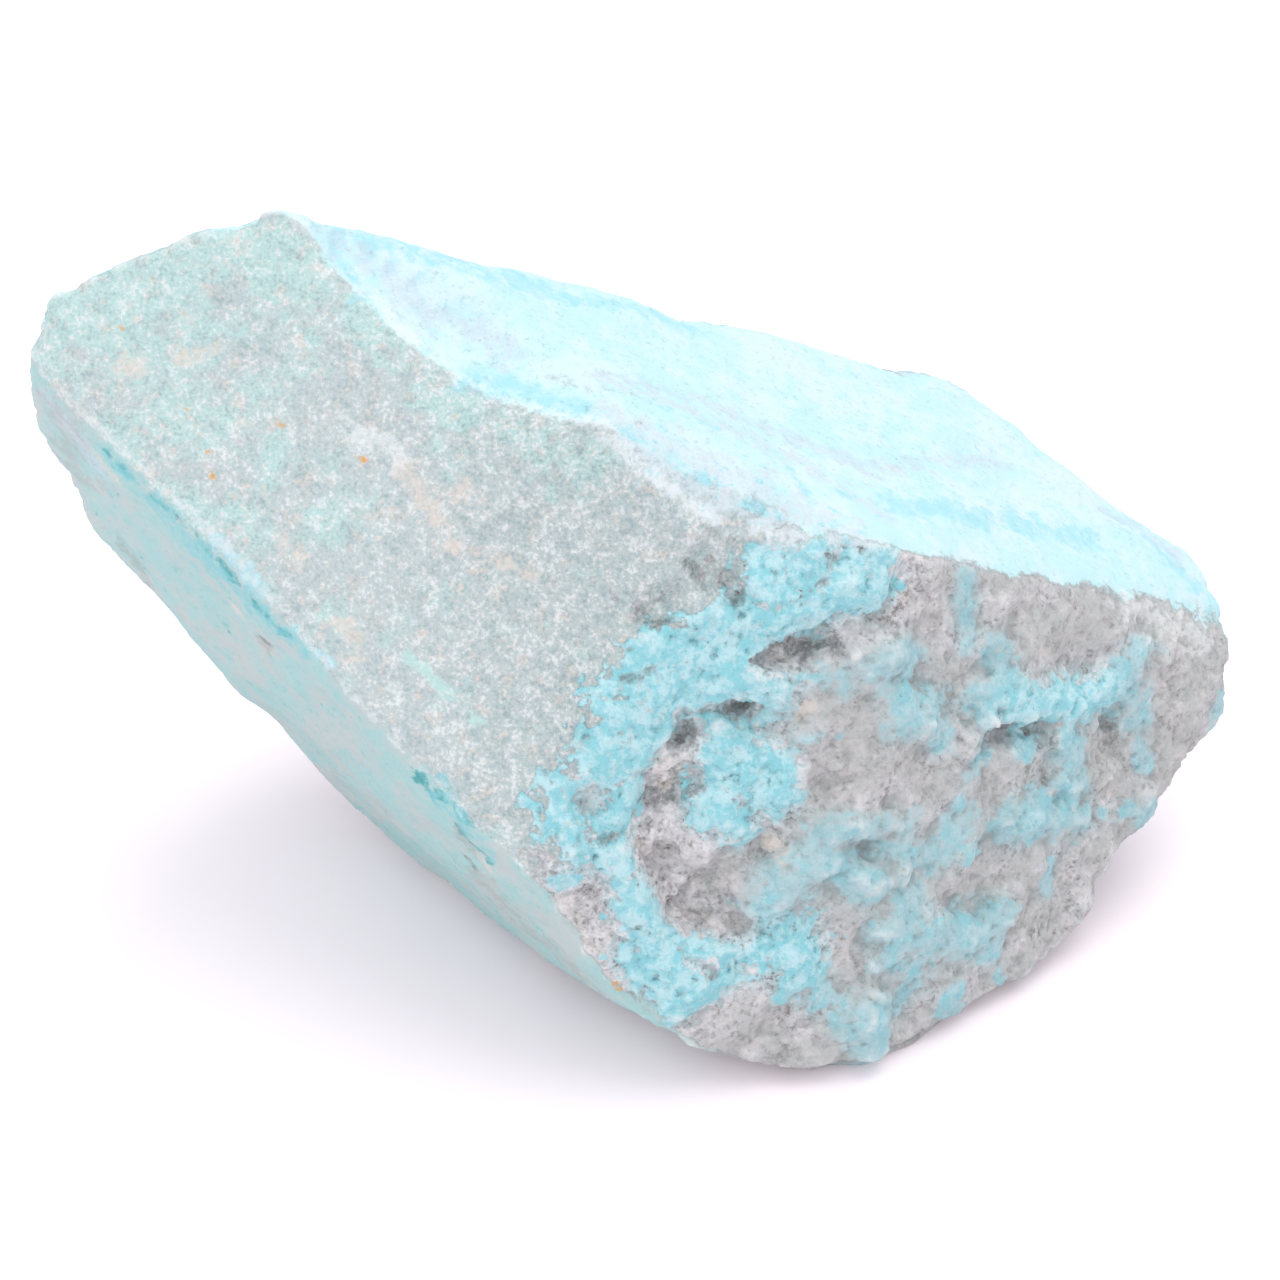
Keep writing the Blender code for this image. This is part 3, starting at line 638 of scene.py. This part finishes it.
def weather(surface, sizes):
    """Works the relief of every break into the surface, and returns the colour masks."""
    facing = surface.soften(surface.normals(), FLAT_ROUNDS)
    grounds, chance = ground_shares(surface, facing)
    wander = cloud(surface.places, WANDER_SIZE, 4, WANDER_SMOOTH) * WANDER
    cover = {}
    cover["crust"], cover["pit"] = crust_cover(surface.places, grounds, chance, wander)
    cover["sharp"] = wear_facets(surface, facing, grounds["rubble"], cover["crust"])
    facing = surface.normals()
    places = surface.places.copy()
    cover["faded"] = fading(crust_map(places), chance)

    crumb = cloud(places, CRUMB_SIZE, 3)
    lay_grains_over(places, grounds, wander)
    stains = stain_masks(places, crumb)
    stains["green"] -= GREEN_SWING * (ramp(places[:, 0], *GREEN_ENDS) - GREEN_MIDDLE)
    heights = relief_heights(places, sizes, grounds, cover, stains, crumb)
    raise_surface(surface, facing, heights, sizes.foot_tuck)
    masks = {**colour_masks(surface, grounds, cover), **stains, "dim": ramp(places[:, 0], *DIM_ENDS)}
    surface.write()
    return masks


def keep_masks(mesh, masks):
    for name, values in masks.items():
        layer = mesh.attributes.new(name, "FLOAT", "POINT")
        layer.data.foreach_set("value", values.astype(np.float32))


def finish_mesh(stone, triangles):
    """Keeps the triangles where the surface bends, and brings it to metres."""
    stone.data.calc_loop_triangles()
    thin = stone.modifiers.new("thin_out", "DECIMATE")
    thin.ratio = triangles / len(stone.data.loop_triangles)
    thin.use_collapse_triangulate = True
    apply_modifiers(stone)
    stone.data.transform(Matrix.Scale(MM, 4))
    stone.data.shade_smooth()


# Shader nodes.


class NodeWeb:
    """Adds nodes to one tree in columns, and joins them as it goes."""

    rows, column_width, row_height = 6, 220, 240

    def __init__(self, tree):
        self.tree = tree

    def add(self, kind, values=None, **settings):
        node = self.tree.nodes.new(kind)
        column, row = divmod(len(self.tree.nodes), self.rows)
        node.location = (column * self.column_width, -row * self.row_height)
        for name, value in settings.items():
            setattr(node, name, value)
        for socket, value in (values or {}).items():
            self.feed(node.inputs[socket], value)
        return node

    def feed(self, socket, value):
        if isinstance(value, bpy.types.NodeSocket):
            self.tree.links.new(value, socket)
        elif hasattr(value, "__len__") and len(value) == 3 and len(socket.default_value) == 4:
            socket.default_value = (*value, 1.0)
        else:
            socket.default_value = value

    def math(self, operation, first, second):
        return self.add("ShaderNodeMath", {0: first, 1: second}, operation=operation).outputs[0]

    def sum(self, first, second):
        return self.math("ADD", first, second)

    def times(self, first, second):
        return self.math("MULTIPLY", first, second)

    def less(self, first, second):
        return self.math("SUBTRACT", first, second)

    def rise(self, value, low, high):
        """0 at low, 1 at high, with soft ends."""
        values = {"Value": value, "From Min": low, "From Max": high}
        return self.add("ShaderNodeMapRange", values, interpolation_type="SMOOTHSTEP").outputs[0]

    def blend(self, share, first, second):
        """From the first colour to the second."""
        return self.add("ShaderNodeMix", {0: share, 6: first, 7: second}, data_type="RGBA").outputs[2]

    def cloud(self, spot, per_mm, detail=3.0, rough=0.55, warp=0.0):
        values = {"Vector": spot, "Scale": per_mm, "Detail": detail, "Roughness": rough, "Distortion": warp}
        return self.add("ShaderNodeTexNoise", values).outputs["Fac"]

    def mask(self, name):
        return self.add("ShaderNodeAttribute", attribute_name=name).outputs["Fac"]


def plain_material(name):
    """A new material and its shader."""
    material = bpy.data.materials.new(name)
    material.use_nodes = True
    return material, material.node_tree.nodes["Principled BSDF"]


def effect(name, inputs, outputs):
    """An empty node group with named sockets. Returns its web, its inputs and its output node."""
    tree = bpy.data.node_groups.new(name, "ShaderNodeTree")
    for side, sockets in (("INPUT", inputs), ("OUTPUT", outputs)):
        for socket, kind in sockets.items():
            tree.interface.new_socket(socket, in_out=side, socket_type=kind)
    web = NodeWeb(tree)
    source = web.add("NodeGroupInput").outputs
    sink = web.add("NodeGroupOutput").inputs
    return web, source, sink


VECTOR, COLOUR, VALUE = "NodeSocketVector", "NodeSocketColor", "NodeSocketFloat"
SKIN = {"Colour": COLOUR, "Height": VALUE}


def sugar_effect():
    """Fused sugary grains: soft light and dark ones in clusters, with greener, greyer and cream clouds, and
    painted shade with crisper grains towards the dim side.
    """
    colours = dict.fromkeys(("Pale", "Green", "Grey", "Dark", "Cream", "Dim Colour"), COLOUR)
    inputs = {"Spot": VECTOR, "Greener": VALUE, "Dim": VALUE, **colours}
    web, source, sink = effect("sugar_grain", inputs, SKIN)
    spot = source["Spot"]
    grain = web.cloud(spot, 4.8, 3.0, 0.62)
    cluster = web.cloud(spot, 1.3, 4.0, 0.62)
    drift = web.sum(web.cloud(spot, 0.35, 5.0, 0.68), web.times(source["Greener"], 0.22))
    body = web.blend(web.rise(drift, 0.42, 0.62), source["Grey"], source["Green"])
    cream = web.rise(web.cloud(spot, 1.2, 5.0, 0.72), 0.51, 0.66)
    body = web.blend(web.times(cream, 0.7), body, source["Cream"])
    light = web.sum(web.times(grain, 0.5), web.times(cluster, 0.5))
    crisp = web.sum(0.92, web.times(source["Dim"], 0.28))
    light = web.sum(0.5, web.times(web.less(light, 0.5), crisp))
    body = web.blend(web.rise(light, 0.51, 0.34), body, source["Dark"])
    body = web.blend(web.rise(light, 0.5, 0.64), body, source["Pale"])
    # Painted shade towards the dim side.
    body = web.blend(web.times(source["Dim"], 0.12), body, source["Dim Colour"])
    web.feed(sink["Colour"], body)
    web.feed(sink["Height"], web.sum(web.times(grain, 0.8), web.times(cluster, 0.5)))
    return web.tree


def rubble_effect():
    """Crumbly rock: grey, with pale crystals, dark grit, a flush of tan and a wash of crust."""
    colours = dict.fromkeys(("Pale", "Grey", "Dark", "Tan", "Crust"), COLOUR)
    web, source, sink = effect("bare_rubble", {"Spot": VECTOR, "Wash": VALUE, **colours}, SKIN)
    spot = source["Spot"]
    coarse = web.cloud(spot, 0.8, 5.0, 0.66)
    fine = web.cloud(spot, 4.0, 4.0, 0.7)
    cell = web.add("ShaderNodeTexVoronoi", {"Vector": spot, "Scale": 4.0})
    tone = web.add("ShaderNodeSeparateColor", {0: cell.outputs["Color"]}).outputs[0]
    tan = web.rise(web.cloud(spot, 0.6, 5.0, 0.65), 0.52, 0.68)
    streaks = web.less(web.cloud(spot, 1.6, 5.0, 0.7), 0.5)
    wash = web.rise(web.sum(source["Wash"], streaks), 0.1, 0.75)
    body = web.blend(web.times(tan, 0.5), source["Grey"], source["Tan"])
    body = web.blend(web.times(wash, 0.75), body, source["Crust"])
    light = web.sum(web.times(coarse, 0.45), web.sum(web.times(fine, 0.43), web.times(tone, 0.12)))
    body = web.blend(web.rise(light, 0.5, 0.33), body, source["Dark"])
    body = web.blend(web.rise(light, 0.49, 0.62), body, source["Pale"])
    web.feed(sink["Colour"], body)
    web.feed(sink["Height"], web.sum(web.times(coarse, 0.5), fine))
    return web.tree


def skin_effect():
    """A mineral coating: its body, pale bloom and deep patches, all softly mottled. Deepen adds deep
    colour: thick coating on the blue and teal, painted shade in the crust's hollows.
    """
    colours = dict.fromkeys(("Pale", "Body", "Deep"), COLOUR)
    inputs = {"Spot": VECTOR, "Patch": VALUE, "Mottle": VALUE, "Fine": VALUE, "Deepen": VALUE, **colours}
    web, source, sink = effect("mineral_skin", inputs, SKIN)
    spot = source["Spot"]
    patch = web.cloud(spot, source["Patch"], 4.0, 0.6, 0.3)
    mottle = web.cloud(spot, source["Mottle"], 4.0, 0.65, 0.2)
    fine = web.cloud(spot, source["Fine"], 3.0, 0.6)
    body = web.blend(web.rise(web.sum(web.times(patch, 0.6), web.times(mottle, 0.4)), 0.43, 0.59),
                     source["Body"], source["Pale"])
    thick = web.sum(web.times(mottle, 0.7), web.times(fine, 0.3))
    thick = web.less(thick, web.times(source["Deepen"], 0.25))
    body = web.blend(web.rise(thick, 0.42, 0.24), body, source["Deep"])
    web.feed(sink["Colour"], body)
    web.feed(sink["Height"], web.sum(mottle, web.times(fine, 0.6)))
    return web.tree


def ragged_effect():
    """Roughens a soft mask's edge into crumbs."""
    inputs = {"Spot": VECTOR, "Mask": VALUE, "Size": VALUE, "Soft": VALUE}
    web, source, sink = effect("ragged_edge", inputs, {"Mask": VALUE})
    crumbs = web.cloud(source["Spot"], source["Size"], 6.0, 0.75, 0.3)
    edge = web.sum(source["Mask"], web.times(web.less(crumbs, 0.5), 1.8))
    soft = web.times(source["Soft"], 0.3)
    web.feed(sink["Mask"], web.rise(edge, web.less(0.34, soft), web.sum(0.66, soft)))
    return web.tree


def use(web, tree, values, output=None):
    """Places an effect in a material. Returns one of its outputs, or both."""
    node = web.add("ShaderNodeGroup", node_tree=tree)
    for socket, value in values.items():
        web.feed(node.inputs[socket], value)
    return node.outputs[output] if output else (node.outputs[0], node.outputs[1])


# Each mineral skin's patches, mottle and fine grain to the millimetre, and its three colours.
SKINS = {
    "blue": (0.22, 0.9, 5.0, "blue_pale", "blue_skin", "blue_deep"),
    "teal": (0.3, 0.8, 4.0, "teal_grey", "teal_skin", "teal_deep"),
    "crust": (1.0, 2.6, 7.0, "crust_pale", "crust_blue", "crust_deep"),
}
# The coats over the grains, from the first laid: crumbs to the millimetre along the edge, and how
# high their own grain stands.
COATS = {"blue": (2.0, 0.7), "rubble": (1.6, 1.8), "teal": (2.0, 0.8), "crust": (2.6, 1.6)}
# Stains, from the first laid: mask, grains to the millimetre, strength and colour.
BROAD_STAINS = (("strip", 1.2, 0.9, "blue_deep"), ("glow", 1.5, 0.8, "glow"))
FINE_STAINS = (
    ("aqua", 3.5, 0.8, "aqua"), ("lilac", 3.5, 0.7, "lilac"), ("grey", 2.0, 0.6, "stone_grey"),
    ("earth", 3.0, 0.5, "earth"), ("bleach", 3.5, 0.55, "chalk"),
)
# The darkest marks: pits and dark spots, partly painted shade, then rust specks.
DARK_STAINS = (("pit", 3.5, 0.6, "soot"), ("soot", 3.5, 0.72, "soot"), ("rust", 4.0, 1.0, "rust"))


def grounds_and_skins(web, spot, colours):
    """The colour and height of the grains, the rubble and each mineral skin."""
    coats = {}
    coats["sugar"] = use(web, sugar_effect(), {
        "Spot": spot, "Greener": web.mask("green"), "Dim": web.mask("dim"), "Dim Colour": colours.soot,
        "Pale": colours.sugar_pale, "Green": colours.sugar_green, "Grey": colours.sugar_grey,
        "Dark": colours.sugar_dark, "Cream": colours.sugar_cream,
    })
    coats["rubble"] = use(web, rubble_effect(), {
        "Spot": spot, "Wash": web.mask("wash"), "Pale": colours.rubble_pale, "Grey": colours.rubble_grey,
        "Dark": colours.rubble_dark, "Tan": colours.tan, "Crust": colours.crust_pale,
    })
    skin = skin_effect()
    deep = web.mask("deep")
    # On the crust the deep colour follows the hollows as painted shade; on the blue and teal it follows the
    # thick coating.
    deepen = {"blue": deep, "teal": deep, "crust": web.times(web.mask("hollow_shade"), 0.6)}
    for name, (patch, mottle, fine, *tints) in SKINS.items():
        pale, middle, thick = [getattr(colours, tint) for tint in tints]
        coats[name] = use(web, skin, {
            "Spot": spot, "Patch": patch, "Mottle": mottle, "Fine": fine, "Deepen": deepen[name],
            "Pale": pale, "Body": middle, "Deep": thick,
        })
    fade = web.times(web.mask("faded"), web.rise(web.cloud(spot, 0.5, 5.0, 0.65), 0.2, 0.6))
    for name, strength, thin_wash in (("crust", 0.55, colours.mist), ("rubble", 0.65, colours.stone_grey)):
        body, height = coats[name]
        coats[name] = web.blend(web.times(fade, strength), body, thin_wash), height
    return coats


def coat_edges(web, spot):
    """Where each coat lies, with crumbling edges. The crust is also laced with small gaps."""
    ragged = ragged_effect()
    softness = {"crust": web.mask("faded")}
    edges = {}
    for name, (per_mm, _) in COATS.items():
        values = {"Spot": spot, "Mask": web.mask(name), "Size": per_mm, "Soft": softness.get(name, 0.0)}
        edges[name] = use(web, ragged, values, "Mask")
    lace = web.rise(web.cloud(spot, 1.2, 6.0, 0.78), 0.54, 0.67)
    edges["crust"] = web.times(edges["crust"], web.less(1.0, web.times(lace, 0.75)))
    return edges


def stain(web, spot, name, per_mm, strength):
    """A stain whose soft mask is broken into grains by noise."""
    mask = web.mask(name)
    grains = web.times(web.less(web.cloud(spot, per_mm, 5.0, 0.72), 0.5), 2.4)
    share = web.rise(web.sum(web.times(mask, 0.75), grains), 0.1, 0.95)
    return web.times(web.times(share, web.rise(mask, 0.0, 0.5)), strength)


def stained(web, spot, body, colours, stains):
    """The body with the stains laid over it."""
    for name, per_mm, strength, tint in stains:
        body = web.blend(stain(web, spot, name, per_mm, strength), body, getattr(colours, tint))
    return body


def stone_material(colours):
    material, shader = plain_material("weathered_chrysocolla")
    web = NodeWeb(material.node_tree)
    place = web.add("ShaderNodeTexCoord").outputs["Object"]
    spot = web.add("ShaderNodeVectorMath", {0: place, "Scale": 1.0 / MM}, operation="SCALE").outputs[0]

    coats = grounds_and_skins(web, spot, colours)
    edges = coat_edges(web, spot)
    body, height = coats["sugar"]
    for name, (_, depth) in COATS.items():
        share, (coat, coat_height) = edges[name], coats[name]
        body = web.blend(share, body, coat)
        coat_height = web.times(coat_height, web.times(share, depth))
        height = web.sum(web.times(height, web.less(1.0, share)), coat_height)

    frosted = web.blend(0.5, web.blend(0.4, coats["blue"][0], coats["sugar"][0]), colours.frost)
    flecks = web.rise(web.cloud(spot, 1.3, 5.0, 0.7), 0.56, 0.64)
    frosted = web.blend(flecks, frosted, colours.blue_deep)
    body = web.blend(stain(web, spot, "frost", 2.5, 1.0), body, frosted)
    body = stained(web, spot, body, colours, BROAD_STAINS)
    chance_tan = web.times(web.rise(web.cloud(spot, 2.2, 5.0, 0.7), 0.6, 0.74), 0.4)
    tan = web.sum(stain(web, spot, "tan", 3.5, 0.6), chance_tan)
    body = web.blend(web.times(tan, web.less(1.0, edges["crust"])), body, colours.tan)
    body = stained(web, spot, body, colours, FINE_STAINS)
    body = web.blend(web.times(web.mask("worn"), 0.8), body, colours.chalk)
    # Painted shade darkens the hollows.
    body = web.blend(web.times(web.mask("hollow_shade"), 0.3), body, colours.soot)
    body = stained(web, spot, body, colours, DARK_STAINS)
    web.feed(shader.inputs["Base Color"], body)

    web.feed(shader.inputs["Roughness"], web.less(0.78, web.times(edges["blue"], 0.12)))
    shader.inputs["Specular IOR Level"].default_value = 0.35
    bump = web.add("ShaderNodeBump", {"Height": height, "Strength": 0.7, "Distance": 0.12 * MM})
    web.feed(shader.inputs["Normal"], bump.outputs[0])
    return material


# The studio.


def aim_at(thing, place, target):
    thing.location = place
    thing.rotation_mode = "QUATERNION"
    thing.rotation_quaternion = (Vector(target) - Vector(place)).to_track_quat("-Z", "Y")


# In metres.
KEY_PLACE, FILL_PLACE, STONE_MIDDLE = (0.16, 0.14, 0.58), (-0.35, -0.45, 0.25), (0.0, 0.0, 0.02)
LIGHT_WIDTH, NEAREST_SEEN = 0.6, 0.01
KEY_TINT, FILL_TINT = (1.0, 0.995, 0.99), (1.0, 1.0, 1.0)


def soft_light(name, place, power, tint):
    light = bpy.data.lights.new(name, "AREA")
    light.shape = "DISK"
    light.size = LIGHT_WIDTH
    light.energy = power
    light.color = tint
    aim_at(add_object(name, light), place, STONE_MIDDLE)


def pale_floor(studio):
    shape = bmesh.new()
    bmesh.ops.create_grid(shape, x_segments=1, y_segments=1, size=studio.floor_width / 2.0)
    mesh = bpy.data.meshes.new("pale_floor")
    shape.to_mesh(mesh)
    shape.free()
    floor = add_object("pale_floor", mesh)
    material, shader = plain_material("floor_paper")
    shader.inputs["Base Color"].default_value = (*studio.floor_tint, 1.0)
    shader.inputs["Roughness"].default_value = 0.9
    shader.inputs["Specular IOR Level"].default_value = 0.1
    mesh.materials.append(material)


def surround(studio):
    world = bpy.data.worlds.new("surround")
    world.use_nodes = True
    background = world.node_tree.nodes["Background"]
    background.inputs["Color"].default_value = (*studio.sky_tint, 1.0)
    background.inputs["Strength"].default_value = studio.sky
    bpy.context.scene.world = world
    bpy.context.scene.view_settings.view_transform = "Standard"


def studio_camera(studio):
    data = bpy.data.cameras.new("studio_camera")
    data.lens = studio.lens
    data.clip_start = NEAREST_SEEN
    camera = add_object("studio_camera", data)
    back = Vector((0.0, -math.cos(studio.elevation), math.sin(studio.elevation)))
    aim = Vector(studio.aim)
    aim_at(camera, aim + back * studio.distance, aim)
    bpy.context.scene.camera = camera


# Operators and panel.


class STONE_OT_weathered_stone(bpy.types.Operator):
    """Lays the fine weathered surface over the solid lump and colours it"""

    bl_idname = "stone.weathered_stone"
    bl_label = "Weathered Stone"

    def execute(self, context):
        sizes = context.scene.stone_sizes
        stone = fine_copy("weathered_stone", sizes.face_size)
        masks = weather(Surface(stone.data), sizes)
        keep_masks(stone.data, masks)
        finish_mesh(stone, sizes.triangles)
        stone.data.materials.clear()
        stone.data.materials.append(stone_material(context.scene.stone_colours))
        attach(stone, "root")
        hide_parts(NODE)
        return {"FINISHED"}


class STONE_OT_studio(bpy.types.Operator):
    """Sets up the pale floor, the soft lights and the camera"""

    bl_idname = "stone.studio"
    bl_label = "Studio"

    def execute(self, context):
        studio = context.scene.stone_studio
        pale_floor(studio)
        surround(studio)
        soft_light("key", KEY_PLACE, studio.key, KEY_TINT)
        soft_light("fill", FILL_PLACE, studio.fill, FILL_TINT)
        studio_camera(studio)
        return {"FINISHED"}


class STONE_PT_panel(bpy.types.Panel):
    """The stone's pieces and their settings"""

    bl_idname = "STONE_PT_panel"
    bl_label = "Raw Chrysocolla"
    bl_space_type = "VIEW_3D"
    bl_region_type = "UI"
    bl_category = "Chrysocolla"

    def draw(self, context):
        layout = self.layout
        for operator, group in (
            (STONE_OT_weathered_stone, context.scene.stone_sizes),
            (STONE_OT_studio, context.scene.stone_studio),
        ):
            layout.operator(operator.bl_idname)
            box = layout.box()
            for name in group.__annotations__:
                box.prop(group, name)
        box = layout.box()
        for name in context.scene.stone_colours.__annotations__:
            box.prop(context.scene.stone_colours, name)


SETTINGS = {"stone_sizes": StoneSizes, "stone_colours": StoneColours, "stone_studio": StudioSettings}
CLASSES = (*SETTINGS.values(), STONE_OT_weathered_stone, STONE_OT_studio, STONE_PT_panel)


def register():
    for kind in CLASSES:
        bpy.utils.register_class(kind)
    for name, kind in SETTINGS.items():
        setattr(bpy.types.Scene, name, PointerProperty(type=kind))


def unregister():
    for name in SETTINGS:
        delattr(bpy.types.Scene, name)
    for kind in reversed(CLASSES):
        bpy.utils.unregister_class(kind)


def main():
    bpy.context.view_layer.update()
    register()
    bpy.ops.stone.weathered_stone()
    bpy.ops.stone.studio()


if __name__ == "__main__":
    main()
